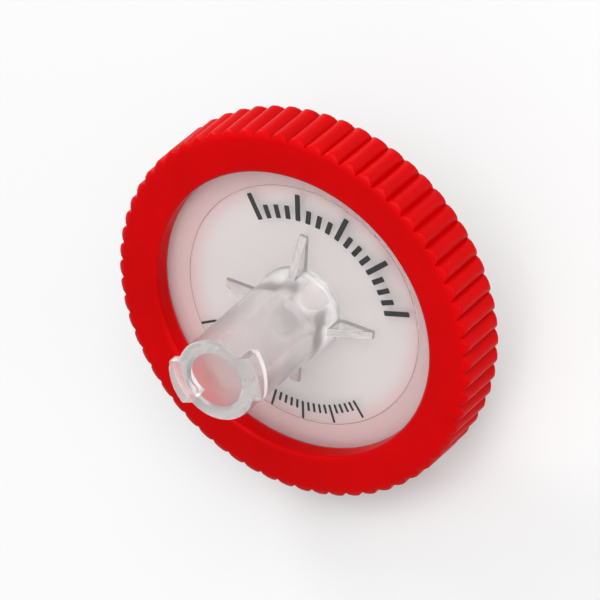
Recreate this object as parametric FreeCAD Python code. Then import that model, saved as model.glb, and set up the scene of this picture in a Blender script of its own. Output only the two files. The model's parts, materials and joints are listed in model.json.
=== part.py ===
import FreeCAD, Part

import math
import os

from FreeCAD import Vector

# Syringe filter, all lengths in mm.
# Each piece is drawn about the flow axis: z = 0 is the membrane's middle plane,
# +z is the inlet side, and +x points at the spot of the ring that will touch the table.
# place() then lays the finished filter down, on its ring and the tip of its nozzle.

# Membrane
MEMBRANE_DIAMETER = 25.0
MEMBRANE_THICKNESS = 0.2
MEMBRANE_SIDE_CLEARANCE = 0.1

# Clear shells, one above and one below the membrane
CLAMP_WIDTH = 2.7
CHAMBER_DEPTH = 0.25
CHAMBER_CORNER_RADIUS = 0.1
PLATE_THICKNESS = 0.6
FLANGE_WIDTH = 1.0
FLANGE_THICKNESS = 0.7

# Grip ring, moulded over the edges of both shells
RING_WALL = 1.4
RING_LIP_WIDTH = 2.0
FACE_RECESS = 1.5
RING_EDGE_RADIUS = 1.0
WINDOW_EDGE_RADIUS = 0.4
KNURL_COUNT = 62
KNURL_DEPTH = 0.5
KNURL_EDGE_GAP = 0.2

# Inlet hub with a luer lock socket
LUER_TAPER = 0.06
HUB_HEIGHT = 12.0
HUB_MOUTH_WALL = 1.05
HUB_MOUTH_RADIUS = 0.2
HUB_DRAFT = 0.15
SOCKET_MOUTH_DIAMETER = 4.3
SOCKET_TAPER_DEPTH = 7.5
SOCKET_LAND_LENGTH = 1.6
SOCKET_CHAMFER = 0.2
INLET_PASSAGE_DIAMETER = 2.4
LUG_SPAN = 7.8
LUG_WIDTH = 3.4
LUG_THICKNESS = 0.8
LUG_RISE = 0.7
LUG_ANGLE = 90.0

# Outlet nozzle, a male luer slip on a collar
COLLAR_STEP = 1.3
COLLAR_HEIGHT = 1.8
COLLAR_EDGE_RADIUS = 0.2
NOZZLE_TIP_DIAMETER = 3.95
NOZZLE_TAPER_LENGTH = 7.5
NOZZLE_LAND_LENGTH = 1.4
NOZZLE_TIP_RADIUS = 0.4
OUTLET_PASSAGE_DIAMETER = 2.2

# Where the hub and the collar meet their plates, and the webs that brace the hub
ROOT_FILLET = 0.5
WEB_COUNT = 4
WEB_LENGTH = 2.95
WEB_HEIGHT = 2.0
WEB_TOE_HEIGHT = 0.25
WEB_THICKNESS = 0.7
WEB_ANGLE = -22.0

# Ribs that carry the membrane on the outlet side
RIB_COUNT = 12
RIB_WIDTH = 0.6
LONG_RIB_START = 2.4
SHORT_RIB_START = 5.4
RIB_END_GAP = 0.7

# How far a shape is buried in the one it joins, and how far a cut runs past a face
OVERLAP = 0.5

AXIS = Vector(0, 0, 1)
ORIGIN = Vector(0, 0, 0)

# Radii that follow from the sizes above, from the membrane outwards
membrane_radius = MEMBRANE_DIAMETER / 2
pocket_radius = membrane_radius + MEMBRANE_SIDE_CLEARANCE
flange_radius = pocket_radius + FLANGE_WIDTH
ring_radius = flange_radius + RING_WALL
window_radius = flange_radius - RING_LIP_WIDTH
chamber_radius = membrane_radius - CLAMP_WIDTH

# Levels above the membrane's middle plane
seal_face = MEMBRANE_THICKNESS / 2
chamber_ceiling = seal_face + CHAMBER_DEPTH
plate_face = chamber_ceiling + PLATE_THICKNESS
ring_face = plate_face + FACE_RECESS

# The hub and its socket
hub_mouth = plate_face + HUB_HEIGHT
socket_mouth_radius = SOCKET_MOUTH_DIAMETER / 2
socket_root_radius = socket_mouth_radius - LUER_TAPER / 2 * SOCKET_TAPER_DEPTH
socket_land_top = hub_mouth - SOCKET_TAPER_DEPTH
socket_floor = socket_land_top - SOCKET_LAND_LENGTH
hub_mouth_radius = socket_mouth_radius + HUB_MOUTH_WALL
hub_root_radius = hub_mouth_radius + HUB_DRAFT

# The nozzle and its collar
nozzle_tip_radius = NOZZLE_TIP_DIAMETER / 2
nozzle_root_radius = nozzle_tip_radius + LUER_TAPER / 2 * NOZZLE_TAPER_LENGTH
collar_radius = nozzle_root_radius + COLLAR_STEP
collar_top = plate_face + COLLAR_HEIGHT
nozzle_land_top = collar_top + NOZZLE_LAND_LENGTH
nozzle_tip = nozzle_land_top + NOZZLE_TAPER_LENGTH


def rounded_wire(corners):
    """A closed wire in the x-z plane through (x, z, radius) corners, each rounded by its radius."""
    points = [Vector(x, 0, z) for x, z, _ in corners]
    starts, ends, arcs = [], [], []
    for i, (_, _, radius) in enumerate(corners):
        corner = points[i]
        back = (points[i - 1] - corner).normalize()
        onward = (points[(i + 1) % len(points)] - corner).normalize()
        if radius == 0:
            starts.append(corner)
            ends.append(corner)
            arcs.append(None)
            continue
        half = back.getAngle(onward) / 2
        inward = (back + onward).normalize()
        trim = radius / math.tan(half)
        middle = corner + inward * (radius / math.sin(half) - radius)
        starts.append(corner + back * trim)
        ends.append(corner + onward * trim)
        arcs.append(Part.Arc(starts[i], middle, ends[i]).toShape())
    edges = []
    for i, arc in enumerate(arcs):
        if arc:
            edges.append(arc)
        edges.append(Part.makeLine(ends[i], starts[(i + 1) % len(corners)]))
    return Part.Wire(edges)


def turned(corners):
    """The solid of revolution of (radius, z, rounding) corners about the flow axis."""
    return Part.Face(rounded_wire(corners)).revolve(ORIGIN, AXIS, 360)


def plain(corners):
    """The same corners with no rounding."""
    return [(x, z, 0) for x, z in corners]


def around_axis(shape, count, first_angle=0.0):
    """Evenly spaced copies of a shape around the flow axis."""
    copies = []
    for i in range(count):
        copies.append(shape.rotated(ORIGIN, AXIS, first_angle + i * 360 / count))
    return copies


def upright_slab(corners, thickness):
    """A slab of this thickness, centred on the x-z plane, with this outline there."""
    face = Part.Face(rounded_wire(plain(corners)))
    slab = face.extrude(Vector(0, thickness, 0))
    return slab.translated(Vector(0, -thickness / 2, 0))


def mirrored(shape):
    """The shape on the other side of the membrane."""
    return shape.mirror(ORIGIN, AXIS)


def knurled_blank():
    """A prism as tall as the ring, whose rim is a row of rounded ridges with a groove at +x."""
    valley_radius = ring_radius - KNURL_DEPTH
    pitch = 2 * math.pi / KNURL_COUNT

    def rim_point(radius, angle):
        return Vector(radius * math.cos(angle), radius * math.sin(angle), -ring_face)

    ridges = []
    for i in range(KNURL_COUNT):
        start = rim_point(valley_radius, i * pitch)
        crest = rim_point(ring_radius, (i + 0.5) * pitch)
        end = rim_point(valley_radius, (i + 1) * pitch)
        ridges.append(Part.Arc(start, crest, end).toShape())
    return Part.Face(Part.Wire(ridges)).extrude(AXIS * 2 * ring_face)


def overmould_ring():
    """The grip ring: knurled outside, rounded at its edges, wrapped over both shells' flanges."""
    edge = ring_radius + KNURL_EDGE_GAP
    envelope = turned([
        (window_radius, -ring_face, WINDOW_EDGE_RADIUS),
        (edge, -ring_face, RING_EDGE_RADIUS),
        (edge, ring_face, RING_EDGE_RADIUS),
        (window_radius, ring_face, WINDOW_EDGE_RADIUS),
    ])
    flanges = turned(plain([
        (window_radius - OVERLAP, -FLANGE_THICKNESS),
        (flange_radius, -FLANGE_THICKNESS),
        (flange_radius, FLANGE_THICKNESS),
        (window_radius - OVERLAP, FLANGE_THICKNESS),
    ]))
    return knurled_blank().common(envelope).cut(flanges)


def half_shell():
    """The plate and flange that both shells share, on the inlet side."""
    return turned([
        (0, chamber_ceiling, 0),
        (0, plate_face, 0),
        (window_radius, plate_face, 0),
        (window_radius, FLANGE_THICKNESS, 0),
        (flange_radius, FLANGE_THICKNESS, 0),
        (flange_radius, 0, 0),
        (pocket_radius, 0, 0),
        (pocket_radius, seal_face, 0),
        (chamber_radius, seal_face, 0),
        (chamber_radius, chamber_ceiling, CHAMBER_CORNER_RADIUS),
    ])


def stem(root_radius, corners):
    """A hub or nozzle body: a filleted root on the plate, then these corners up to its end."""
    foot_radius = root_radius + 2 * ROOT_FILLET
    return turned([
        (0, chamber_ceiling, 0),
        (foot_radius, chamber_ceiling, 0),
        (foot_radius, plate_face, 0),
        (root_radius, plate_face, ROOT_FILLET),
        *corners,
    ])


def webs():
    """Low sloping webs from the foot of the hub out across the plate."""
    buried_radius = hub_root_radius - OVERLAP
    toe_radius = hub_root_radius + WEB_LENGTH
    buried_level = plate_face - PLATE_THICKNESS / 2
    web = upright_slab(
        [
            (buried_radius, buried_level),
            (toe_radius, buried_level),
            (toe_radius, plate_face + WEB_TOE_HEIGHT),
            (buried_radius, plate_face + WEB_HEIGHT),
        ],
        WEB_THICKNESS,
    )
    return around_axis(web, WEB_COUNT, WEB_ANGLE)


def luer_lugs():
    """The two lugs at the hub's mouth, with undersides that climb like a thread."""
    half = LUG_WIDTH / 2
    outline = rounded_wire(plain([
        (-half, hub_mouth),
        (half, hub_mouth),
        (half, hub_mouth - LUG_THICKNESS),
        (-half, hub_mouth - LUG_THICKNESS - LUG_RISE),
    ]))
    bar = Part.Face(outline).extrude(Vector(0, LUG_SPAN, 0))
    bar.translate(Vector(0, socket_mouth_radius + HUB_MOUTH_WALL / 2, 0))
    bar.rotate(ORIGIN, AXIS, -90)
    reach = Part.makeCylinder(LUG_SPAN / 2, hub_mouth)
    return around_axis(bar.common(reach), 2, LUG_ANGLE)


def socket():
    """The space of the luer socket: chamfer, taper, straight land and the passage below."""
    chamfer_foot = hub_mouth - SOCKET_CHAMFER
    chamfer_foot_radius = socket_mouth_radius - LUER_TAPER / 2 * SOCKET_CHAMFER
    rim_radius = socket_mouth_radius + SOCKET_CHAMFER
    passage_radius = INLET_PASSAGE_DIAMETER / 2
    return turned(plain([
        (0, chamber_ceiling - OVERLAP),
        (passage_radius, chamber_ceiling - OVERLAP),
        (passage_radius, socket_floor),
        (socket_root_radius, socket_floor),
        (socket_root_radius, socket_land_top),
        (chamfer_foot_radius, chamfer_foot),
        (rim_radius, hub_mouth),
        (rim_radius, hub_mouth + OVERLAP),
        (0, hub_mouth + OVERLAP),
    ]))


def inlet_housing():
    """The clear inlet shell: plate, webs and a luer lock hub."""
    hub = stem(hub_root_radius, [
        (hub_mouth_radius, hub_mouth, HUB_MOUTH_RADIUS),
        (0, hub_mouth, 0),
    ])
    body = half_shell().fuse([hub, *webs(), *luer_lugs()])
    return body.cut(socket()).removeSplitter()


def support_ribs():
    """Radial ribs that hold the membrane off the outlet plate, long and short by turns."""
    end = chamber_radius - RIB_END_GAP
    buried = chamber_ceiling + PLATE_THICKNESS / 2
    ribs = []
    for start, first_angle in ((LONG_RIB_START, 0), (SHORT_RIB_START, 180 / RIB_COUNT)):
        rib = upright_slab(
            [(start, seal_face), (end, seal_face), (end, buried), (start, buried)],
            RIB_WIDTH,
        )
        ribs += around_axis(rib, RIB_COUNT, first_angle)
    return ribs


def outlet_housing():
    """The clear outlet shell: plate, support ribs and a luer slip nozzle on a collar."""
    nozzle = stem(collar_radius, [
        (collar_radius, collar_top, COLLAR_EDGE_RADIUS),
        (nozzle_root_radius, collar_top, 0),
        (nozzle_root_radius, nozzle_land_top, 0),
        (nozzle_tip_radius, nozzle_tip, NOZZLE_TIP_RADIUS),
        (0, nozzle_tip, 0),
    ])
    bore_length = nozzle_tip - chamber_ceiling + 2 * OVERLAP
    bore = Part.makeCylinder(OUTLET_PASSAGE_DIAMETER / 2, bore_length)
    bore.translate(AXIS * (chamber_ceiling - OVERLAP))
    body = half_shell().fuse([nozzle, *support_ribs()])
    return mirrored(body.cut(bore).removeSplitter())


def membrane():
    """The filter membrane, clamped at its edge between the two shells."""
    disc = Part.makeCylinder(membrane_radius, MEMBRANE_THICKNESS)
    return disc.translated(AXIS * -seal_face)


def resting_tilt():
    """Degrees between the flow axis and the vertical with the ring and the nozzle tip on a table."""
    groove_half_angle = math.pi / KNURL_COUNT
    edge_centre = ring_radius + KNURL_EDGE_GAP - RING_EDGE_RADIUS
    ring_x = edge_centre * math.cos(groove_half_angle)
    ring_z = -ring_face + RING_EDGE_RADIUS
    tip_x = nozzle_tip_radius - NOZZLE_TIP_RADIUS
    tip_z = -nozzle_tip + NOZZLE_TIP_RADIUS
    span = math.hypot(ring_x - tip_x, ring_z - tip_z)
    slope = math.atan2(ring_z - tip_z, ring_x - tip_x)
    return math.degrees(slope - math.asin((RING_EDGE_RADIUS - NOZZLE_TIP_RADIUS) / span))


def place(pieces):
    """Lay the filter down at its resting tilt, with its box centred over the origin and z = 0 under it."""
    tilt = resting_tilt()
    leaning = {name: shape.rotated(ORIGIN, Vector(0, 1, 0), tilt) for name, shape in pieces.items()}
    box = Part.makeCompound(list(leaning.values())).optimalBoundingBox(False)
    shift = Vector(-box.Center.x, -box.Center.y, -box.ZMin)
    return {name: shape.translated(shift) for name, shape in leaning.items()}


def main():
    pieces = {
        "overmould_ring": overmould_ring(),
        "inlet_housing": inlet_housing(),
        "membrane": membrane(),
        "outlet_housing": outlet_housing(),
    }
    os.makedirs("parts", exist_ok=True)
    for name, shape in place(pieces).items():
        shape.exportStep(f"parts/{name}.step")


main()
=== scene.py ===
import json
import math
from types import SimpleNamespace

import bmesh
import bpy
from bpy.props import FloatProperty, FloatVectorProperty, IntProperty, PointerProperty
from mathutils import Matrix, Quaternion, Vector


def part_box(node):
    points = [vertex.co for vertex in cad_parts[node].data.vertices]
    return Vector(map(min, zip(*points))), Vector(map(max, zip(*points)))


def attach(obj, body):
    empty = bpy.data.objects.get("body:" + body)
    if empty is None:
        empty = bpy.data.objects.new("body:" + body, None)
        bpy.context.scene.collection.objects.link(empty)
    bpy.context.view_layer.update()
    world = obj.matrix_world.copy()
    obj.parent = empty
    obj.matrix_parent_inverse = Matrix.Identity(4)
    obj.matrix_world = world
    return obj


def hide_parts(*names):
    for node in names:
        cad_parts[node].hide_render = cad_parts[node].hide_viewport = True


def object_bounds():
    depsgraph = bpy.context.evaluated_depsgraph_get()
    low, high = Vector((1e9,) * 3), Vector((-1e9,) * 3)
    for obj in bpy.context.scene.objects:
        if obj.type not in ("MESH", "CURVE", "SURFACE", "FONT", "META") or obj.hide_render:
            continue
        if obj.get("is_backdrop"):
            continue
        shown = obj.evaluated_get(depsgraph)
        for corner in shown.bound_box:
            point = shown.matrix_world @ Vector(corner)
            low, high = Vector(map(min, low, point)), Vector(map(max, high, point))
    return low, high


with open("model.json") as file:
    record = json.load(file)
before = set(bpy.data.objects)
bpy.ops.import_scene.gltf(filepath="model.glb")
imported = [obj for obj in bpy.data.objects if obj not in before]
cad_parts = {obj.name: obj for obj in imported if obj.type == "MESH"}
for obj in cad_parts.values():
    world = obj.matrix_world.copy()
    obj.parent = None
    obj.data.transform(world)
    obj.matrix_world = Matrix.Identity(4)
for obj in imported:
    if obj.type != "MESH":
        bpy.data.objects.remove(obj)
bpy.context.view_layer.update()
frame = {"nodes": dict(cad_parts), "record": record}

bl_info = {
    "name": "Syringe Filter",
    "version": (1, 0, 0),
    "blender": (4, 5, 0),
    "location": "3D View > Sidebar > Syringe Filter",
    "description": "Builds a disc syringe filter with a knurled grip ring, clear shells and a membrane",
    "category": "Add Mesh",
}

MM = 0.001

# The filter's own axes: along the flow towards the inlet, level, and down towards the table.
# Every piece made here is drawn about the flow axis, with the membrane's middle at the origin,
# and SEAT puts it in place.
MOUNTS = {mount["name"]: mount for mount in frame["record"]["mounts"]}
FLOW_AXIS = Vector(MOUNTS["inlet_luer_socket"]["axis"]).normalized()
LEVEL_AXIS = Vector((0, 1, 0))
DOWNHILL_AXIS = LEVEL_AXIS.cross(FLOW_AXIS)
MEMBRANE_CENTRE = sum(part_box("membrane"), Vector()) / 2
TURN = Matrix((DOWNHILL_AXIS, LEVEL_AXIS, FLOW_AXIS)).transposed().to_4x4()
SEAT = Matrix.Translation(MEMBRANE_CENTRE) @ TURN

ROOT_BODY = "root"
UP = Vector((0, 0, 1))
WHITE = (1.0, 1.0, 1.0, 1.0)

# How finely the meshes follow their curves
ARC_STEPS = 8  # in the arc at each rounded corner of a section
BEVEL_STEPS = 3  # across a softened edge of a web, a lug or a rib
ROUND_PROFILE = 0.5  # the bevel's setting for a true arc
LUG_STEPS = 6  # along a lug's curved outer face
TICK_CORNER_STEPS = 4
SHARP_ANGLE = math.radians(32)  # edges that turn by more than this stay crisp
WELD_DISTANCE = 0.0005 * MM
# Added to a whole number in a node tree, so that rounding can't take it below its own value, and
# the limit under which such a number counts as nought
ROUNDING_GUARD = 0.25

POLYPROPYLENE_IOR = 1.49
MEMBRANE_IOR = 1.35
FIBRE_SIZE = 0.35 * MM
FIBRE_HEIGHT = 0.01 * MM
FIBRE_DETAIL = 6.0
FIBRE_COARSENESS = 0.62  # how strong the fibres' finest detail is
WAVE_DETAIL = 1.5
GRAIN_DETAIL = 2.0
NOISE_MIDDLE = (0.3, 0.7)  # the range that most of a noise texture's values lie in
ROUGHNESS_SPREAD = 0.03  # how far a moulded face's roughness strays to either side


# ---------------------------------------------------------------- properties

def length(name, description, millimetres):
    """A size on the panel, written here in millimetres and kept in metres."""
    return FloatProperty(name=name, description=description, default=millimetres * MM, min=0.0,
                         precision=5, subtype="DISTANCE", unit="LENGTH")


def angle(name, description, degrees):
    """An angle on the panel, written here in degrees and kept in radians."""
    return FloatProperty(name=name, description=description, default=math.radians(degrees),
                         subtype="ANGLE", unit="ROTATION")


def count(name, description, number):
    """A whole number on the panel, of one or more."""
    return IntProperty(name=name, description=description, default=number, min=1)


def share(name, description, value):
    """A share on the panel, from none to all."""
    return FloatProperty(name=name, description=description, default=value, min=0.0, max=1.0,
                         subtype="FACTOR")


def number(name, description, value):
    """A plain number on the panel, never below nought."""
    return FloatProperty(name=name, description=description, default=value, min=0.0)


def colour(name, description, red, green, blue):
    """A colour on the panel, in linear light."""
    return FloatVectorProperty(name=name, description=description, default=(red, green, blue),
                               size=3, min=0.0, max=1.0, subtype="COLOR")


def direction(name, description, x, y, z):
    """A direction on the panel, of any length."""
    return FloatVectorProperty(name=name, description=description, default=(x, y, z), size=3,
                               subtype="DIRECTION")


class ShellSizes(bpy.types.PropertyGroup):
    """Sizes of the two clear shells, the hub and the nozzle"""
    membrane_diameter: length("Membrane diameter", "Across the membrane, which sets the whole disc", 25.0)
    membrane_thickness: length("Membrane thickness", "Thickness of the membrane", 0.2)
    membrane_clearance: length("Membrane clearance", "Gap round the membrane's edge", 0.1)
    clamp_width: length("Clamp width", "How much of the membrane's edge the shells grip", 2.7)
    chamber_depth: length("Chamber depth", "From the membrane to the plate's inner face", 0.25)
    chamber_corner: length("Chamber corner", "Rounding where the chamber's wall meets the plate", 0.1)
    plate_thickness: length("Plate thickness", "Thickness of the window plate", 0.6)
    flange_width: length("Flange width", "How far the flange runs past the membrane's pocket", 1.0)
    flange_thickness: length("Flange thickness", "Thickness of one shell's flange", 0.7)
    root_fillet: length("Root fillet", "Fillet where the hub and the collar meet their plates", 0.5)
    soft_edge: length("Soft edge", "Rounding left on the crisp edges by the mould", 0.06)
    bond: length("Bond", "How far a shell runs into the ring and the membrane where it meets them", 0.01)
    air_gap: length("Air gap", "Half the gap between the shells' flanges, and the gap over the ribs", 0.01)

    hub_height: length("Hub height", "From the inlet plate to the hub's mouth", 12.0)
    hub_wall: length("Hub wall", "Wall round the socket at the hub's mouth", 1.05)
    hub_draft: length("Hub draft", "How much wider the hub's foot is than its mouth, in radius", 0.15)
    hub_rounding: length("Hub rounding", "Rounding of the mouth's outer edge", 0.2)
    socket_diameter: length("Socket diameter", "Across the luer socket's mouth", 4.3)
    socket_depth: length("Socket depth", "Depth of the luer socket's taper", 7.5)
    socket_land: length("Socket land", "Straight length below the taper", 1.6)
    socket_chamfer: length("Socket chamfer", "Chamfer at the socket's mouth", 0.2)
    inlet_passage: length("Inlet passage", "Diameter of the passage from the socket to the chamber", 2.4)
    luer_taper: number("Luer taper", "Change in diameter for each unit of length", 0.06)

    lug_count: count("Lug count", "Number of lock lugs at the hub's mouth", 2)
    lug_span: length("Lug span", "Across the lock lugs, from outside to outside", 7.8)
    lug_width: length("Lug width", "Width of a lock lug", 3.4)
    lug_thickness: length("Lug thickness", "Thickness of a lug at its thin side", 0.8)
    lug_rise: length("Lug rise", "How far a lug's underside climbs across its width", 0.7)
    lug_angle: angle("Lug angle", "Where the first lug stands round the hub", 90.0)

    web_count: count("Web count", "Number of webs that brace the hub", 4)
    web_length: length("Web length", "How far a web runs out from the hub", 2.95)
    web_height: length("Web height", "Height of a web at the hub", 2.0)
    web_toe: length("Web toe", "Height of a web at its outer end", 0.25)
    web_thickness: length("Web thickness", "Thickness of a web", 0.7)
    web_angle: angle("Web angle", "Where the first web stands round the hub", -22.0)

    collar_step: length("Collar step", "How far the collar stands out from the nozzle, in radius", 1.3)
    collar_height: length("Collar height", "Height of the nozzle's collar", 1.8)
    collar_rounding: length("Collar rounding", "Rounding of the collar's edge", 0.2)
    nozzle_diameter: length("Nozzle diameter", "Across the nozzle's tip", 3.95)
    nozzle_taper: length("Nozzle taper", "Length of the nozzle's luer taper", 7.5)
    nozzle_land: length("Nozzle land", "Straight length between the taper and the collar", 1.4)
    nozzle_rounding: length("Nozzle rounding", "Rounding of the nozzle's tip", 0.4)
    outlet_passage: length("Outlet passage", "Diameter of the passage through the nozzle", 2.2)

    rib_count: count("Rib count", "Number of long ribs under the membrane, and of short ones", 12)
    rib_width: length("Rib width", "Width of a rib", 0.6)
    long_rib_start: length("Long rib start", "Radius at which the long ribs start", 2.4)
    short_rib_start: length("Short rib start", "Radius at which the short ribs start", 5.4)
    rib_end_gap: length("Rib end gap", "Gap between a rib's end and the chamber's wall", 0.7)
    steps: count("Steps", "Steps round the axis in each shell's mesh", 192)


class RingSizes(bpy.types.PropertyGroup):
    """Sizes of the grip ring"""
    wall: length("Wall", "From the shells' flanges to the knurls' crests", 1.4)
    lip_width: length("Lip width", "How far the ring reaches in over the flanges", 2.0)
    face_recess: length("Face recess", "Depth of the window plate below the ring's face", 1.5)
    edge_rounding: length("Edge rounding", "Rounding of the ring's outer edges", 1.0)
    window_rounding: length("Window rounding", "Rounding of the window's edge", 0.4)
    knurl_count: count("Knurl count", "Number of ridges round the ring", 62)
    knurl_depth: length("Knurl depth", "From a ridge's crest to the groove beside it", 0.5)
    knurl_edge_gap: length("Knurl edge gap", "How far the ridges stay inside the edges' full width", 0.2)
    knurl_softness: length("Knurl softness", "Blend where a ridge runs out on the ring's shoulder", 0.12)
    steps_per_knurl: count("Steps per knurl", "Steps across one ridge in the mesh", 12)


class PrintSizes(bpy.types.PropertyGroup):
    """Sizes of the two printed scales on the inlet plate"""
    thickness: length("Ink thickness", "How far the ink stands above the plate", 0.012)
    corner: length("Corner", "Rounding of a tick's corners", 0.08)
    bold_radius: length("Bold radius", "Inner radius of the bold scale", 7.3)
    bold_length: length("Bold length", "Length of the bold scale's long ticks", 2.2)
    bold_width: length("Bold width", "Width of the bold scale's ticks", 0.42)
    bold_middle: angle("Bold middle", "Direction of the bold scale's middle", 137.0)
    bold_span: angle("Bold span", "Angle that the bold scale covers", 104.0)
    bold_count: count("Bold count", "Number of ticks in the bold scale", 17)
    bold_long_every: count("Bold long every", "One tick in this many is long in the bold scale", 4)
    fine_radius: length("Fine radius", "Inner radius of the fine scale", 7.95)
    fine_length: length("Fine length", "Length of the fine scale's long ticks", 1.5)
    fine_width: length("Fine width", "Width of the fine scale's ticks", 0.2)
    fine_middle: angle("Fine middle", "Direction of the fine scale's middle", -34.0)
    fine_span: angle("Fine span", "Angle that the fine scale covers", 100.0)
    fine_count: count("Fine count", "Number of ticks in the fine scale", 31)
    fine_long_every: count("Fine long every", "One tick in this many is long in the fine scale", 5)
    short_share: share("Short share", "Length of a short tick as a share of a long one", 0.5)


class Finishes(bpy.types.PropertyGroup):
    """Colours and gloss of the materials"""
    ring_colour: colour("Ring colour", "Colour of the grip ring", 0.56, 0.0006, 0.0015)
    ring_shade: colour("Ring shade", "Colour of the grip ring's slightly darker patches",
                       0.52, 0.0005, 0.0012)
    ring_roughness: share("Ring roughness", "Roughness of the grip ring", 0.34)
    ring_sheen: share("Ring sheen", "How strongly the grip ring mirrors what it faces: 0.5 is a full gloss",
                      0.05)
    # Near white, with a slight pink that is painted red light from the ring
    clear_colour: colour("Clear colour", "Tint of the clear shells", 0.99, 0.975, 0.975)
    clear_roughness: share("Clear roughness", "Roughness of the clear shells", 0.18)
    clear_share: share("Clear share", "How much of the light passes the shells, the rest being milky", 0.9)
    # The membrane is white with darker, denser fibres; the slight pink in both colours is painted red light
    # from the ring
    membrane_colour: colour("Membrane colour", "Colour of the membrane", 0.985, 0.93, 0.925)
    membrane_shade: colour("Membrane shade", "Colour of the membrane's denser fibres",
                           0.955, 0.895, 0.89)
    # Painted red light: the pink that the red ring's light gives the membrane's gripped rim, painted into
    # its colour
    membrane_blush: colour("Membrane painted red light", "Colour of the membrane's gripped rim, beside the red ring",
                           0.975, 0.70, 0.70)
    blush_width: length("Painted red light width", "How far that colour fades inwards from the gripped rim", 1.6)
    membrane_roughness: share("Membrane roughness", "Roughness of the membrane", 0.8)
    ink_colour: colour("Ink colour", "Colour of the printed scales where the ink is full",
                       0.006, 0.006, 0.007)
    ink_thin: colour("Ink thin", "Colour of the printed scales where the ink is thin",
                     0.018, 0.018, 0.021)
    ink_roughness: share("Ink roughness", "Roughness of the ink", 0.45)


class StageSettings(bpy.types.PropertyGroup):
    """Camera, lamps and table"""
    azimuth: angle("Azimuth", "Camera's direction round the filter", 165.6)
    elevation: angle("Elevation", "Camera's height above the table, as an angle", 52.9)
    roll: angle("Roll", "Turn of the camera about its line of sight", -73.9)
    distance: length("Distance", "From the camera to the filter", 520.0)
    field_width: length("Field width", "Width that the camera sees at the filter", 44.0)
    table_width: length("Table width", "Across the square table", 6000.0)
    table_colour: colour("Table colour", "Colour of the table", 0.44, 0.44, 0.44)
    table_roughness: share("Table roughness", "Roughness of the table", 0.9)
    table_glow: share("Table glow", "Light that is added to the table where it is seen", 0.33)
    lamp_distance: length("Lamp distance", "From the filter to each lamp", 680.0)
    key_side: direction("Key side", "From the filter towards the main lamp and the room's brightest part",
                        -0.1, 0.42, 0.9)
    key_size: length("Key size", "Across the main lamp's round face", 550.0)
    key_power: number("Key power", "Power of the main lamp, in watts", 3.1)
    edge_side: direction("Edge side", "From the filter towards the lamp that grazes the upper ridges",
                         -0.75, -0.5, 0.4)
    edge_size: length("Edge size", "Across that lamp's round face", 250.0)
    edge_power: number("Edge power", "Power of that lamp, in watts", 2.2)
    fill_side: direction("Fill side", "From the filter towards the lamp that fills the rim's lower side",
                         0.3, 0.9, 0.15)
    fill_size: length("Fill size", "Across that lamp's round face", 250.0)
    fill_power: number("Fill power", "Power of that lamp, in watts", 0.9)
    bright_side: number("Bright side", "Strength of the room's light from the main lamp's side", 1.1)
    dark_side: number("Dark side", "Strength of the room's light from the other side", 0.2)


def settings(name):
    """One of the scene's property groups, by its short name."""
    return getattr(bpy.context.scene, "filter_" + name)


def fitted():
    """Radii from the membrane outwards and levels above its middle, worked out from the sizes."""
    shell, ring = settings("shell"), settings("ring")
    fit = SimpleNamespace()
    fit.membrane = shell.membrane_diameter / 2
    fit.pocket = fit.membrane + shell.membrane_clearance
    fit.flange = fit.pocket + shell.flange_width
    fit.crest = fit.flange + ring.wall
    fit.window = fit.flange - ring.lip_width
    fit.chamber = fit.membrane - shell.clamp_width
    fit.seal = shell.membrane_thickness / 2
    fit.ceiling = fit.seal + shell.chamber_depth
    fit.plate = fit.ceiling + shell.plate_thickness
    fit.ring_face = fit.plate + ring.face_recess
    fit.mouth = fit.plate + shell.hub_height
    fit.socket_rim = shell.socket_diameter / 2
    fit.socket_foot = fit.socket_rim - shell.luer_taper / 2 * shell.socket_depth
    fit.hub_mouth = fit.socket_rim + shell.hub_wall
    fit.hub_foot = fit.hub_mouth + shell.hub_draft
    fit.nozzle_tip = shell.nozzle_diameter / 2
    fit.nozzle_foot = fit.nozzle_tip + shell.luer_taper / 2 * shell.nozzle_taper
    fit.collar = fit.nozzle_foot + shell.collar_step
    return fit


# ---------------------------------------------------------------- sections and small solids

def rounded(corners):
    """Points of a closed section through (radius, height, rounding) corners, with its arcs."""
    points = []
    for i, (x, z, rounding) in enumerate(corners):
        corner = Vector((x, z))
        if not rounding:
            points.append(corner)
            continue
        back = (Vector(corners[i - 1][:2]) - corner).normalized()
        onward = (Vector(corners[(i + 1) % len(corners)][:2]) - corner).normalized()
        half = back.angle(onward) / 2
        centre = corner + (back + onward).normalized() * rounding / math.sin(half)
        spoke = corner + back * rounding / math.tan(half) - centre
        sweep = math.copysign(math.pi - 2 * half, back.cross(onward))
        for step in range(ARC_STEPS + 1):
            points.append(centre + Matrix.Rotation(-sweep * step / ARC_STEPS, 2) @ spoke)
    return points


def mirrored(corners):
    """The same section on the other side of the membrane, running the same way round."""
    return [(x, -z, rounding) for x, z, rounding in reversed(corners)]


def flange_corners(fit):
    """The corners that both shells share, from the plate out round the flange and in to the chamber."""
    shell = settings("shell")
    return [
        (fit.window + shell.bond, fit.plate, 0),
        (fit.window + shell.bond, shell.flange_thickness + shell.bond, 0),
        (fit.flange + shell.bond, shell.flange_thickness + shell.bond, 0),
        (fit.flange + shell.bond, shell.air_gap, 0),
        (fit.pocket, shell.air_gap, 0),
        (fit.pocket, fit.seal - shell.bond, 0),
        (fit.chamber, fit.seal - shell.bond, 0),
        (fit.chamber, fit.ceiling, shell.chamber_corner),
    ]


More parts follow.
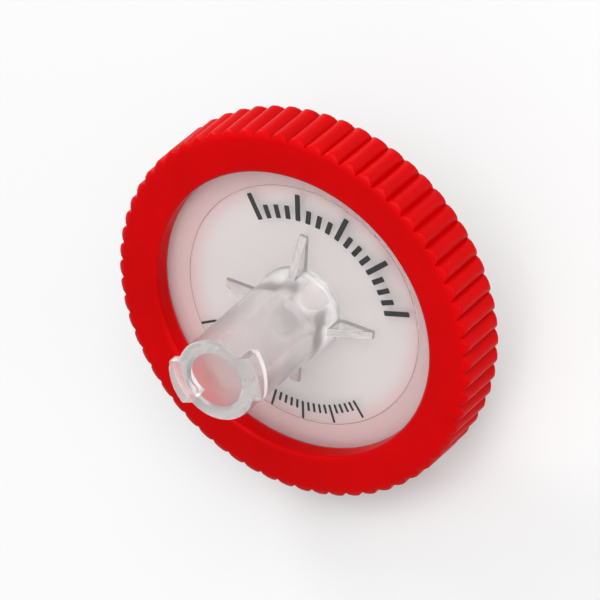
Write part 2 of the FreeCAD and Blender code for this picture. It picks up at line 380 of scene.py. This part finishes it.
def inlet_corners(fit):
    """The inlet shell's section: passage, luer socket, hub and plate."""
    shell = settings("shell")
    land_top = fit.mouth - shell.socket_depth
    floor = land_top - shell.socket_land
    chamfer_foot = fit.socket_rim - shell.luer_taper / 2 * shell.socket_chamfer
    return [
        (shell.inlet_passage / 2, fit.ceiling, 0),
        (shell.inlet_passage / 2, floor, 0),
        (fit.socket_foot, floor, 0),
        (fit.socket_foot, land_top, 0),
        (chamfer_foot, fit.mouth - shell.socket_chamfer, 0),
        (fit.socket_rim + shell.socket_chamfer, fit.mouth, shell.soft_edge),
        (fit.hub_mouth, fit.mouth, shell.hub_rounding),
        (fit.hub_foot, fit.plate, shell.root_fillet),
        *flange_corners(fit),
    ]


def outlet_corners(fit):
    """The outlet shell's section: passage, nozzle, collar and plate."""
    shell = settings("shell")
    collar_top = fit.plate + shell.collar_height
    land_top = collar_top + shell.nozzle_land
    tip = land_top + shell.nozzle_taper
    return mirrored([
        (shell.outlet_passage / 2, fit.ceiling, 0),
        (shell.outlet_passage / 2, tip, shell.soft_edge),
        (fit.nozzle_tip, tip, shell.nozzle_rounding),
        (fit.nozzle_foot, land_top, 0),
        (fit.nozzle_foot, collar_top, 0),
        (fit.collar, collar_top, shell.collar_rounding),
        (fit.collar, fit.plate, shell.root_fillet),
        *flange_corners(fit),
    ])


def ring_corners(fit):
    """The grip ring's section: a channel round the flanges with rounded edges."""
    shell, ring = settings("shell"), settings("ring")
    edge = fit.crest + ring.knurl_edge_gap
    flange = shell.flange_thickness
    return [
        (fit.window, -fit.ring_face, ring.window_rounding),
        (fit.window, -flange, 0),
        (fit.flange, -flange, 0),
        (fit.flange, flange, 0),
        (fit.window, flange, 0),
        (fit.window, fit.ring_face, ring.window_rounding),
        (edge, fit.ring_face, ring.edge_rounding),
        (edge, -fit.ring_face, ring.edge_rounding),
    ]


def new_object(name, mesh):
    """An object with this mesh, in the scene."""
    made = bpy.data.objects.new(name, mesh)
    bpy.context.scene.collection.objects.link(made)
    return made


def section_object(name, corners):
    """An object whose points run round a section, with the radius along x and the height along z."""
    mesh = bpy.data.meshes.new(name)
    mesh.from_pydata([(p.x, 0, p.y) for p in rounded(corners)], [], [])
    return new_object(name, mesh)


def prism_object(name, front, back, edge):
    """A solid between two outlines with the same number of points, with its edges rounded off."""
    solid = bmesh.new()
    outlines = [[solid.verts.new(point) for point in outline] for outline in (front, back)]
    for outline in outlines:
        solid.faces.new(outline)
    for i in range(len(front)):
        solid.faces.new((outlines[0][i - 1], outlines[0][i], outlines[1][i], outlines[1][i - 1]))
    bmesh.ops.bevel(solid, geom=solid.edges, offset=edge, segments=BEVEL_STEPS, profile=ROUND_PROFILE,
                    affect="EDGES")
    bmesh.ops.recalc_face_normals(solid, faces=solid.faces)
    mesh = bpy.data.meshes.new(name)
    solid.to_mesh(mesh)
    solid.free()
    return new_object(name, mesh)


def slab_object(name, outline, thickness, edge):
    """A slab of this thickness whose middle plane holds this (radius, height) outline."""
    sides = [[(x, y, z) for x, z in outline] for y in (-thickness / 2, thickness / 2)]
    return prism_object(name, *sides, edge)


def lug_object(fit):
    """A lock lug: curved outside, flush with the hub's mouth and sloping below like a thread."""
    shell = settings("shell")
    half = shell.lug_width / 2
    reach = shell.lug_span / 2
    buried = fit.socket_rim + shell.hub_wall / 2
    across = [half * (2 * i / LUG_STEPS - 1) for i in range(LUG_STEPS + 1)]
    plan = [(buried, -half)] + [(math.sqrt(reach ** 2 - y ** 2), y) for y in across] + [(buried, half)]
    top = [(x, y, fit.mouth) for x, y in plan]
    bottom = []
    for x, y in plan:
        climb = shell.lug_rise * (y + half) / shell.lug_width
        bottom.append((x, y, fit.mouth - shell.lug_thickness - climb))
    return prism_object("lug", top, bottom, shell.soft_edge)


# ---------------------------------------------------------------- node helpers

def feed(tree, node, inputs):
    """Link the node's inputs to sockets, or set them to values."""
    for key, value in inputs.items():
        if isinstance(value, bpy.types.NodeSocket):
            tree.links.new(value, node.inputs[key])
        else:
            node.inputs[key].default_value = value


def add(tree, kind, inputs=None, **options):
    """A node of this kind with its options set and its inputs fed."""
    node = tree.nodes.new(kind)
    for option, value in options.items():
        setattr(node, option, value)
    feed(tree, node, inputs or {})
    return node


def maths(tree, operation, *values):
    """The result of a Math node."""
    return add(tree, "ShaderNodeMath", dict(enumerate(values)), operation=operation).outputs[0]


def distance_from_axis(tree, x, y):
    """How far a point with this x and y is from the z axis."""
    squares = [maths(tree, "MULTIPLY", side, side) for side in (x, y)]
    return maths(tree, "SQRT", maths(tree, "ADD", *squares))


def new_group(name, kind, inputs, outputs):
    """An empty node group with these (name, socket type) inputs and outputs, and its input node."""
    tree = bpy.data.node_groups.new(name, kind)
    for in_out, sockets in (("INPUT", inputs), ("OUTPUT", outputs)):
        for socket, socket_type in sockets:
            tree.interface.new_socket(socket, in_out=in_out, socket_type=socket_type)
    return tree, tree.nodes.new("NodeGroupInput").outputs


def output(tree, *sockets):
    """Link these sockets to the group's outputs."""
    end = tree.nodes.new("NodeGroupOutput")
    for socket, target in zip(sockets, end.inputs):
        tree.links.new(socket, target)


def once(build):
    """Build a node group the first time that it is asked for, and return the same one after that."""
    def found():
        return bpy.data.node_groups.get(build.__name__) or build(build.__name__)
    return found


# The kinds of socket that the groups have
GEOMETRY = "NodeSocketGeometry"
WHOLE = "NodeSocketInt"
REAL = "NodeSocketFloat"
VECTOR = "NodeSocketVector"
OBJECT = "NodeSocketObject"
MATERIAL = "NodeSocketMaterial"


# ---------------------------------------------------------------- geometry nodes

@once
def turned_section(name):
    """Geometry nodes that turn a closed section about the z axis into a closed skin."""
    tree, given = new_group(name, "GeometryNodeTree", [("Section", GEOMETRY), ("Steps", WHOLE)],
                            [("Mesh", GEOMETRY)])
    section_size = add(tree, "GeometryNodeAttributeDomainSize", {"Geometry": given["Section"]},
                       component="MESH").outputs["Point Count"]
    rows = maths(tree, "ADD", section_size, 1)
    columns = maths(tree, "ADD", given["Steps"], 1)
    grid = add(tree, "GeometryNodeMeshGrid", {"Vertices X": columns, "Vertices Y": rows})
    index = add(tree, "GeometryNodeInputIndex").outputs[0]
    guarded_index = maths(tree, "ADD", index, ROUNDING_GUARD)
    column = maths(tree, "FLOOR", maths(tree, "DIVIDE", guarded_index, rows))
    row = maths(tree, "SUBTRACT", guarded_index, maths(tree, "MULTIPLY", column, rows))
    turn = maths(tree, "MULTIPLY", maths(tree, "DIVIDE", column, given["Steps"]), math.tau)
    position = add(tree, "GeometryNodeInputPosition").outputs[0]
    point = add(tree, "GeometryNodeSampleIndex",
                {"Geometry": given["Section"], "Value": position,
                 "Index": maths(tree, "MODULO", row, section_size)},
                data_type="FLOAT_VECTOR", domain="POINT").outputs[0]
    place = add(tree, "ShaderNodeVectorRotate", {"Vector": point, "Axis": UP, "Angle": turn},
                rotation_type="AXIS_ANGLE").outputs[0]
    skin = add(tree, "GeometryNodeSetPosition",
               {"Geometry": grid.outputs["Mesh"], "Position": place}).outputs[0]
    closed = add(tree, "GeometryNodeMergeByDistance",
                 {"Geometry": skin, "Distance": WELD_DISTANCE}).outputs[0]
    output(tree, add(tree, "GeometryNodeFlipFaces", {"Mesh": closed}).outputs[0])
    return tree


@once
def spread_round_axis(name):
    """Geometry nodes that repeat a piece at even steps round the z axis."""
    tree, given = new_group(
        name, "GeometryNodeTree",
        [("Piece", OBJECT), ("Count", WHOLE), ("First Angle", REAL)],
        [("Geometry", GEOMETRY)])
    points = add(tree, "GeometryNodePoints", {"Count": given["Count"]}).outputs[0]
    piece = add(tree, "GeometryNodeObjectInfo", {"Object": given["Piece"]}).outputs["Geometry"]
    index = add(tree, "GeometryNodeInputIndex").outputs[0]
    step = maths(tree, "DIVIDE", math.tau, given["Count"])
    turn = maths(tree, "MULTIPLY_ADD", index, step, given["First Angle"])
    spin = add(tree, "ShaderNodeCombineXYZ", {"Z": turn}).outputs[0]
    copies = add(tree, "GeometryNodeInstanceOnPoints",
                 {"Points": points, "Instance": piece, "Rotation": spin}).outputs[0]
    output(tree, add(tree, "GeometryNodeRealizeInstances", {"Geometry": copies}).outputs[0])
    return tree


def end_tree(tree, geometry, material):
    """Make the geometry real, give it its material and send it out."""
    real = add(tree, "GeometryNodeRealizeInstances", {"Geometry": geometry}).outputs[0]
    output(tree, add(tree, "GeometryNodeSetMaterial", {"Geometry": real, "Material": material}).outputs[0])


@once
def ribbed_shell(name):
    """Geometry nodes for a shell: a turned section joined with two families of webs, lugs or ribs."""
    families = ("First", "Second")
    inputs = [("Section", GEOMETRY), ("Steps", WHOLE), ("Material", MATERIAL)]
    for family in families:
        inputs += [(f"{family} Piece", OBJECT), (f"{family} Count", WHOLE), (f"{family} Angle", REAL)]
    tree, given = new_group(name, "GeometryNodeTree", inputs, [("Mesh", GEOMETRY)])
    body = add(tree, "GeometryNodeGroup", {"Section": given["Section"], "Steps": given["Steps"]},
               node_tree=turned_section()).outputs[0]
    joined = add(tree, "GeometryNodeMeshBoolean", {"Mesh 2": body}, operation="UNION", solver="EXACT")
    for family in families:
        copies = add(tree, "GeometryNodeGroup",
                     {"Piece": given[f"{family} Piece"], "Count": given[f"{family} Count"],
                      "First Angle": given[f"{family} Angle"]},
                     node_tree=spread_round_axis()).outputs[0]
        feed(tree, joined, {"Mesh 2": copies})
    end_tree(tree, joined.outputs[0], given["Material"])
    return tree


@once
def knurled_ring(name):
    """Geometry nodes for the grip ring: a turned section whose rim is cut back to rounded ridges."""
    tree, given = new_group(
        name, "GeometryNodeTree",
        [("Section", GEOMETRY), ("Crest Radius", REAL), ("Knurl Count", WHOLE), ("Knurl Depth", REAL),
         ("Softness", REAL), ("Steps Per Knurl", WHOLE), ("Material", MATERIAL)],
        [("Mesh", GEOMETRY)])
    steps = maths(tree, "MULTIPLY", given["Knurl Count"], given["Steps Per Knurl"])
    body = add(tree, "GeometryNodeGroup", {"Section": given["Section"], "Steps": steps},
               node_tree=turned_section()).outputs[0]
    position = add(tree, "GeometryNodeInputPosition").outputs[0]
    x, y, z = add(tree, "ShaderNodeSeparateXYZ", {0: position}).outputs
    radius = distance_from_axis(tree, x, y)
    turns = maths(tree, "DIVIDE", maths(tree, "ARCTAN2", y, x), math.tau)
    ridges = maths(tree, "MULTIPLY", turns, given["Knurl Count"])
    # From -1 at one groove to 1 at the next, with 0 on the ridge's crest
    across = maths(tree, "MULTIPLY_ADD", maths(tree, "FRACT", ridges), 2, -1)
    fall = maths(tree, "MULTIPLY", maths(tree, "MULTIPLY", across, across), given["Knurl Depth"])
    ridge = maths(tree, "SUBTRACT", given["Crest Radius"], fall)
    trimmed = maths(tree, "SMOOTH_MIN", radius, ridge, given["Softness"])
    scale = maths(tree, "DIVIDE", trimmed, radius)
    place = add(tree, "ShaderNodeCombineXYZ",
                {"X": maths(tree, "MULTIPLY", x, scale),
                 "Y": maths(tree, "MULTIPLY", y, scale),
                 "Z": z}).outputs[0]
    cut = add(tree, "GeometryNodeSetPosition", {"Geometry": body, "Position": place}).outputs[0]
    end_tree(tree, cut, given["Material"])
    return tree


@once
def tick_scale(name):
    """Geometry nodes for a printed scale: rounded ticks on an arc, with one in every few longer."""
    tree, given = new_group(
        name, "GeometryNodeTree",
        [("Geometry", GEOMETRY), ("Radius", REAL), ("Length", REAL), ("Width", REAL), ("Corner", REAL),
         ("Level", REAL), ("Thickness", REAL), ("Middle", REAL), ("Span", REAL), ("Count", WHOLE),
         ("Long Every", WHOLE), ("Short Share", REAL), ("Material", MATERIAL)],
        [("Mesh", GEOMETRY)])
    outline = add(tree, "GeometryNodeCurvePrimitiveQuadrilateral",
                  {"Width": given["Length"], "Height": given["Width"]}).outputs[0]
    eased = add(tree, "GeometryNodeFilletCurve",
                {"Curve": outline, "Radius": given["Corner"], "Count": TICK_CORNER_STEPS,
                 "Limit Radius": True},
                mode="POLY").outputs[0]
    patch = add(tree, "GeometryNodeFillCurve", {"Curve": eased}, mode="NGONS").outputs[0]
    raised = add(tree, "GeometryNodeExtrudeMesh",
                 {"Mesh": patch, "Offset": UP, "Offset Scale": given["Thickness"], "Individual": False},
                 mode="FACES").outputs[0]
    underside = add(tree, "GeometryNodeFlipFaces", {"Mesh": patch}).outputs[0]
    both = add(tree, "GeometryNodeJoinGeometry", {0: raised})
    feed(tree, both, {0: underside})
    tick = add(tree, "GeometryNodeMergeByDistance",
               {"Geometry": both.outputs[0], "Distance": WELD_DISTANCE}).outputs[0]

    index = add(tree, "GeometryNodeInputIndex").outputs[0]
    gaps = maths(tree, "SUBTRACT", given["Count"], 1)
    from_middle = maths(tree, "SUBTRACT", index, maths(tree, "DIVIDE", gaps, 2))
    share_of_span = maths(tree, "DIVIDE", from_middle, gaps)
    turn = maths(tree, "MULTIPLY_ADD", share_of_span, given["Span"], given["Middle"])

    place_in_cycle = maths(tree, "MODULO", index, given["Long Every"])
    is_long = maths(tree, "LESS_THAN", place_in_cycle, ROUNDING_GUARD)
    missing = maths(tree, "SUBTRACT", 1, given["Short Share"])
    reach = maths(tree, "MULTIPLY_ADD", is_long, missing, given["Short Share"])
    # A tick is drawn about its middle, so it is moved out by half of its own length
    half_length = maths(tree, "MULTIPLY", maths(tree, "DIVIDE", given["Length"], 2), reach)
    middle = maths(tree, "ADD", given["Radius"], half_length)
    spot = add(tree, "ShaderNodeCombineXYZ",
               {"X": maths(tree, "MULTIPLY", middle, maths(tree, "COSINE", turn)),
                "Y": maths(tree, "MULTIPLY", middle, maths(tree, "SINE", turn)),
                "Z": given["Level"]}).outputs[0]
    points = add(tree, "GeometryNodePoints", {"Count": given["Count"], "Position": spot}).outputs[0]
    spin = add(tree, "ShaderNodeCombineXYZ", {"Z": turn}).outputs[0]
    size = add(tree, "ShaderNodeCombineXYZ", {"X": reach, "Y": 1, "Z": 1}).outputs[0]
    ticks = add(tree, "GeometryNodeInstanceOnPoints",
                {"Points": points, "Instance": tick, "Rotation": spin, "Scale": size}).outputs[0]
    end_tree(tree, ticks, given["Material"])
    return tree


def grow(piece, tree, **values):
    """Run a geometry node tree on the piece and leave its result as the piece's own plain mesh, in place."""
    modifier = piece.modifiers.new(tree.name, "NODES")
    modifier.node_group = tree
    named = {item.name.replace(" ", "_").lower(): item.identifier
             for item in tree.interface.items_tree if item.in_out == "INPUT"}
    for name, value in values.items():
        modifier[named[name]] = value
    graph = bpy.context.evaluated_depsgraph_get()
    mesh = bpy.data.meshes.new_from_object(piece.evaluated_get(graph), depsgraph=graph)
    piece.modifiers.clear()
    mesh.transform(SEAT)
    mesh.name = piece.name
    mesh.shade_smooth()
    mesh.set_sharp_from_angle(angle=SHARP_ANGLE)
    check_closed(piece.name, mesh)
    piece.data = mesh
    piece.modifiers.new("flat faces stay flat", "WEIGHTED_NORMAL").keep_sharp = True
    return piece


def check_closed(name, mesh):
    """Raise an error if the mesh has an open edge or is inside out."""
    solid = bmesh.new()
    solid.from_mesh(mesh)
    open_edges = sum(not edge.is_manifold for edge in solid.edges)
    volume = solid.calc_volume(signed=True)
    solid.free()
    if open_edges or volume <= 0:
        raise RuntimeError(f"{name}: {open_edges} open edges, volume {volume}")


def discard(*helpers):
    """Take away objects that have done their work in a node tree."""
    for helper in helpers:
        bpy.data.objects.remove(helper)


# ---------------------------------------------------------------- materials

@once
def moulded_surface(name):
    """Shader nodes for a moulded face: fine grain over slow waves, as a normal, and a mask of the waves."""
    tree, given = new_group(
        name, "ShaderNodeTree",
        [("Grain Size", REAL), ("Grain Height", REAL), ("Wave Size", REAL), ("Wave Height", REAL)],
        [("Normal", VECTOR), ("Mask", REAL)])
    place = add(tree, "ShaderNodeTexCoord").outputs["Object"]

    def noise(size, detail):
        fineness = maths(tree, "DIVIDE", 1, size)
        return add(tree, "ShaderNodeTexNoise",
                   {"Vector": place, "Scale": fineness, "Detail": detail}).outputs[0]

    waves = noise(given["Wave Size"], WAVE_DETAIL)
    grain = noise(given["Grain Size"], GRAIN_DETAIL)
    slow = add(tree, "ShaderNodeBump", {"Height": waves, "Distance": given["Wave Height"]}).outputs[0]
    both = add(tree, "ShaderNodeBump",
               {"Height": grain, "Distance": given["Grain Height"], "Normal": slow}).outputs[0]
    output(tree, both, waves)
    return tree


def new_material(name):
    """A material with nothing in it but a Principled shader and its output."""
    material = bpy.data.materials.new(name)
    material.use_nodes = True
    tree = material.node_tree
    tree.nodes.clear()
    shader = add(tree, "ShaderNodeBsdfPrincipled")
    add(tree, "ShaderNodeOutputMaterial", {"Surface": shader.outputs[0]})
    return material, tree, shader


def moulded(tree, shader, **sizes):
    """Give the shader the moulded surface's normal, and return its mask."""
    named = {size.replace("_", " ").title(): value for size, value in sizes.items()}
    surface = add(tree, "ShaderNodeGroup", named, node_tree=moulded_surface())
    feed(tree, shader, {"Normal": surface.outputs["Normal"]})
    return surface.outputs["Mask"]


def blend(tree, mask, low, high):
    """Two colours mixed by a mask, each of them a colour or a socket that gives one."""
    ends = [end if isinstance(end, bpy.types.NodeSocket) else (*end, 1.0) for end in (low, high)]
    mix = add(tree, "ShaderNodeMix", {"Factor": mask, "A": ends[0], "B": ends[1]}, data_type="RGBA")
    # The node has a result for each kind of value
    return next(socket for socket in mix.outputs if socket.type == "RGBA")


def spread(tree, mask, low=0.0, high=1.0):
    """The middle range of a noise mask stretched over these values."""
    least, most = NOISE_MIDDLE
    return add(tree, "ShaderNodeMapRange",
               {"Value": mask, "From Min": least, "From Max": most,
                "To Min": low, "To Max": high}).outputs[0]


def uneven(tree, mask, roughness):
    """A roughness that strays a little round this value."""
    return spread(tree, mask, roughness - ROUGHNESS_SPREAD, roughness + ROUGHNESS_SPREAD)


def ring_material():
    """Satin red polypropylene."""
    finish = settings("finish")
    material, tree, shader = new_material("red polypropylene")
    mask = moulded(tree, shader, grain_size=0.12 * MM, grain_height=0.0012 * MM,
                   wave_size=3.0 * MM, wave_height=0.006 * MM)
    feed(tree, shader, {
        "Base Color": blend(tree, spread(tree, mask), finish.ring_shade, finish.ring_colour),
        "Roughness": uneven(tree, mask, finish.ring_roughness),
        "IOR": POLYPROPYLENE_IOR,
        "Specular IOR Level": finish.ring_sheen,
    })
    return material


def clear_material():
    """Clear polypropylene, slightly milky."""
    if "clear polypropylene" in bpy.data.materials:
        return bpy.data.materials["clear polypropylene"]
    finish = settings("finish")
    material, tree, shader = new_material("clear polypropylene")
    mask = moulded(tree, shader, grain_size=0.25 * MM, grain_height=0.0006 * MM,
                   wave_size=2.2 * MM, wave_height=0.03 * MM)
    feed(tree, shader, {
        "Base Color": (*finish.clear_colour, 1.0),
        "Roughness": uneven(tree, mask, finish.clear_roughness),
        "IOR": POLYPROPYLENE_IOR,
        "Transmission Weight": finish.clear_share,
    })
    return material


def membrane_material():
    """White fibrous membrane, with the red ring's light painted as a pink tint on the rim that the shells
    grip.
    """
    finish, fit = settings("finish"), fitted()
    material, tree, shader = new_material("membrane")
    place = add(tree, "ShaderNodeTexCoord").outputs["Object"]
    fibres = add(tree, "ShaderNodeTexNoise",
                 {"Vector": place, "Scale": 1 / FIBRE_SIZE, "Detail": FIBRE_DETAIL,
                  "Roughness": FIBRE_COARSENESS}).outputs[0]
    white = blend(tree, spread(tree, fibres), finish.membrane_shade, finish.membrane_colour)
    centred = add(tree, "ShaderNodeMapping",
                  {"Vector": place, "Location": MEMBRANE_CENTRE, "Rotation": TURN.to_euler()},
                  vector_type="TEXTURE").outputs[0]
    x, y = add(tree, "ShaderNodeSeparateXYZ", {0: centred}).outputs[:2]
    # Painted red light: a mask that is one at the chamber's edge and fades inwards, where the ring's red
    # light is painted onto the membrane
    rim = add(tree, "ShaderNodeMapRange",
              {"Value": distance_from_axis(tree, x, y), "From Min": fit.chamber - finish.blush_width,
               "From Max": fit.chamber},
              interpolation_type="SMOOTHSTEP").outputs[0]
    feed(tree, shader, {
        "Base Color": blend(tree, rim, white, finish.membrane_blush),
        "Normal": add(tree, "ShaderNodeBump", {"Height": fibres, "Distance": FIBRE_HEIGHT}).outputs[0],
        "Roughness": finish.membrane_roughness,
        "IOR": MEMBRANE_IOR,
    })
    return material


def ink_material():
    """Black pad print, slightly uneven."""
    if "print ink" in bpy.data.materials:
        return bpy.data.materials["print ink"]
    finish = settings("finish")
    material, tree, shader = new_material("print ink")
    mask = moulded(tree, shader, grain_size=0.08 * MM, grain_height=0.002 * MM,
                   wave_size=0.8 * MM, wave_height=0.002 * MM)
    feed(tree, shader, {
        "Base Color": blend(tree, mask, finish.ink_colour, finish.ink_thin),
        "Roughness": finish.ink_roughness,
    })
    return material


def seen(tree):
    """One for rays from the camera, from a gloss or through a clear piece, and nought for all others."""
    rays = add(tree, "ShaderNodeLightPath").outputs
    indirect = maths(tree, "MAXIMUM", rays["Is Glossy Ray"], rays["Is Transmission Ray"])
    return maths(tree, "MAXIMUM", rays["Is Camera Ray"], indirect)


def table_material():
    """A pale table that shows the filter's shadow and is seen as nearly white."""
    stage = settings("stage")
    material, tree, shader = new_material("table")
    feed(tree, shader, {
        "Base Color": (*stage.table_colour, 1.0),
        "Roughness": stage.table_roughness,
        "Specular IOR Level": 0.0,
        "Emission Color": WHITE,
        "Emission Strength": maths(tree, "MULTIPLY", seen(tree), stage.table_glow),
    })
    return material


# ---------------------------------------------------------------- operators

class FILTER_OT_add_ring(bpy.types.Operator):
    """Add the knurled grip ring"""
    bl_idname = "filter.add_ring"
    bl_label = "Grip Ring"

    def execute(self, context):
        ring, fit = settings("ring"), fitted()
        piece = section_object("grip_ring", ring_corners(fit))
        grow(piece, knurled_ring(), crest_radius=fit.crest, knurl_count=ring.knurl_count,
             knurl_depth=ring.knurl_depth, softness=ring.knurl_softness,
             steps_per_knurl=ring.steps_per_knurl, material=ring_material())
        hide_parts("overmould_ring")
        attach(piece, ROOT_BODY)
        return {"FINISHED"}


class FILTER_OT_add_inlet_shell(bpy.types.Operator):
    """Add the clear inlet shell with its webs, luer lock hub and lugs"""
    bl_idname = "filter.add_inlet_shell"
    bl_label = "Inlet Shell"

    def execute(self, context):
        shell, fit = settings("shell"), fitted()
        piece = section_object("inlet_shell", inlet_corners(fit))
        inner = fit.hub_foot - shell.hub_wall / 2
        toe = fit.hub_foot + shell.web_length
        buried = fit.plate - shell.plate_thickness / 2
        web_outline = [
            (inner, buried),
            (toe, buried),
            (toe, fit.plate + shell.web_toe),
            (inner, fit.plate + shell.web_height),
        ]
        web = slab_object("web", web_outline, shell.web_thickness, shell.soft_edge)
        lug = lug_object(fit)
        grow(piece, ribbed_shell(), steps=shell.steps, material=clear_material(),
             first_piece=web, first_count=shell.web_count, first_angle=shell.web_angle,
             second_piece=lug, second_count=shell.lug_count, second_angle=shell.lug_angle)
        discard(web, lug)
        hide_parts("inlet_housing")
        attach(piece, ROOT_BODY)
        return {"FINISHED"}


class FILTER_OT_add_outlet_shell(bpy.types.Operator):
    """Add the clear outlet shell with its support ribs, collar and nozzle"""
    bl_idname = "filter.add_outlet_shell"
    bl_label = "Outlet Shell"

    def execute(self, context):
        shell, fit = settings("shell"), fitted()
        piece = section_object("outlet_shell", outlet_corners(fit))
        top = -fit.seal - shell.air_gap
        buried = -fit.ceiling - shell.plate_thickness / 2
        end = fit.chamber - shell.rib_end_gap
        ribs = []
        for start in (shell.long_rib_start, shell.short_rib_start):
            outline = [(start, top), (end, top), (end, buried), (start, buried)]
            ribs.append(slab_object("rib", outline, shell.rib_width, shell.soft_edge))
        long_rib, short_rib = ribs
        midway = math.pi / shell.rib_count
        grow(piece, ribbed_shell(), steps=shell.steps, material=clear_material(),
             first_piece=long_rib, first_count=shell.rib_count, first_angle=0.0,
             second_piece=short_rib, second_count=shell.rib_count, second_angle=midway)
        discard(long_rib, short_rib)
        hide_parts("outlet_housing")
        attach(piece, ROOT_BODY)
        return {"FINISHED"}


class FILTER_OT_dress_membrane(bpy.types.Operator):
    """Give the membrane its fibrous white finish, with the ring's red light painted pink on its gripped rim
    """
    bl_idname = "filter.dress_membrane"
    bl_label = "Membrane"

    def execute(self, context):
        materials = frame["nodes"]["membrane"].data.materials
        materials.clear()
        materials.append(membrane_material())
        return {"FINISHED"}


class FILTER_OT_add_scales(bpy.types.Operator):
    """Add the bold and the fine printed scale on the inlet plate"""
    bl_idname = "filter.add_scales"
    bl_label = "Printed Scales"

    def execute(self, context):
        ink, fit = settings("print"), fitted()
        fields = ("radius", "length", "width", "middle", "span", "count", "long_every")
        for kind in ("bold", "fine"):
            own = {field: getattr(ink, f"{kind}_{field}") for field in fields}
            piece = new_object(f"{kind}_scale", bpy.data.meshes.new(kind))
            grow(piece, tick_scale(), **own, corner=ink.corner, level=fit.plate, thickness=ink.thickness,
                 short_share=ink.short_share, material=ink_material())
            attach(piece, ROOT_BODY)
        return {"FINISHED"}


class FILTER_OT_set_stage(bpy.types.Operator):
    """Set the table, the lamps, the world and the camera"""
    bl_idname = "filter.set_stage"
    bl_label = "Stage"

    def execute(self, context):
        self.lay_table()
        self.light_world()
        for name in ("key", "edge", "fill"):
            self.hang_lamp(name)
        self.aim_camera()
        context.scene.view_settings.view_transform = "Standard"
        return {"FINISHED"}

    def lay_table(self):
        half = settings("stage").table_width / 2
        corners = [(-half, -half, 0), (half, -half, 0), (half, half, 0), (-half, half, 0)]
        mesh = bpy.data.meshes.new("table")
        mesh.from_pydata(corners, [], [range(len(corners))])
        mesh.materials.append(table_material())
        new_object("table", mesh)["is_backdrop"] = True

    def light_world(self):
        stage = settings("stage")
        world = bpy.data.worlds.new("studio")
        world.use_nodes = True
        tree = world.node_tree
        tree.nodes.clear()
        towards = add(tree, "ShaderNodeTexCoord").outputs["Generated"]
        facing = add(tree, "ShaderNodeVectorMath", {0: towards, 1: Vector(stage.key_side).normalized()},
                     operation="DOT_PRODUCT").outputs["Value"]
        level = add(tree, "ShaderNodeMapRange",
                    {"Value": facing, "To Min": stage.dark_side, "To Max": stage.bright_side}).outputs[0]
        strength = maths(tree, "MAXIMUM", seen(tree), level)
        back = add(tree, "ShaderNodeBackground", {"Color": WHITE, "Strength": strength})
        add(tree, "ShaderNodeOutputWorld", {"Surface": back.outputs[0]})
        bpy.context.scene.world = world

    def hang_lamp(self, name):
        stage = settings("stage")
        side = Vector(getattr(stage, name + "_side")).normalized()
        lamp = bpy.data.lights.new(name, "AREA")
        lamp.shape = "DISK"
        lamp.size = getattr(stage, name + "_size")
        lamp.energy = getattr(stage, name + "_power")
        held = new_object(name, lamp)
        held.location = MEMBRANE_CENTRE + side * stage.lamp_distance
        held.rotation_euler = (-side).to_track_quat("-Z", "Y").to_euler()
        held.visible_camera = False

    def aim_camera(self):
        stage = settings("stage")
        flat = math.cos(stage.elevation)
        back = Vector((
            math.sin(stage.azimuth) * flat,
            -math.cos(stage.azimuth) * flat,
            math.sin(stage.elevation),
        ))
        camera = bpy.data.cameras.new("camera")
        camera.lens = camera.sensor_width * stage.distance / stage.field_width
        held = new_object("camera", camera)
        held.rotation_mode = "QUATERNION"
        held.rotation_quaternion = (-back).to_track_quat("-Z", "Y") @ Quaternion(UP, stage.roll)
        low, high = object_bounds()
        held.location = (low + high) / 2 + back * stage.distance
        bpy.context.scene.camera = held


class FILTER_PT_panel(bpy.types.Panel):
    """The filter's pieces and their sizes"""
    bl_label = "Syringe Filter"
    bl_idname = "FILTER_PT_panel"
    bl_space_type = "VIEW_3D"
    bl_region_type = "UI"
    bl_category = "Syringe Filter"

    def draw(self, context):
        for operator in OPERATORS:
            self.layout.operator(operator.bl_idname)
        for name, group in GROUPS.items():
            box = self.layout.box()
            box.label(text=group.__doc__)
            for field in group.__annotations__:
                box.prop(settings(name), field)


GROUPS = {
    "shell": ShellSizes,
    "ring": RingSizes,
    "print": PrintSizes,
    "finish": Finishes,
    "stage": StageSettings,
}
OPERATORS = (
    FILTER_OT_add_ring,
    FILTER_OT_add_inlet_shell,
    FILTER_OT_add_outlet_shell,
    FILTER_OT_dress_membrane,
    FILTER_OT_add_scales,
    FILTER_OT_set_stage,
)
CLASSES = (*GROUPS.values(), *OPERATORS, FILTER_PT_panel)


def register():
    for cls in CLASSES:
        bpy.utils.register_class(cls)
    for name, group in GROUPS.items():
        setattr(bpy.types.Scene, "filter_" + name, PointerProperty(type=group))


def unregister():
    for name in GROUPS:
        delattr(bpy.types.Scene, "filter_" + name)
    for cls in reversed(CLASSES):
        bpy.utils.unregister_class(cls)


def main():
    register()
    bpy.ops.filter.add_ring()
    bpy.ops.filter.add_inlet_shell()
    bpy.ops.filter.add_outlet_shell()
    bpy.ops.filter.dress_membrane()
    bpy.ops.filter.add_scales()
    bpy.ops.filter.set_stage()


if __name__ == "__main__":
    main()
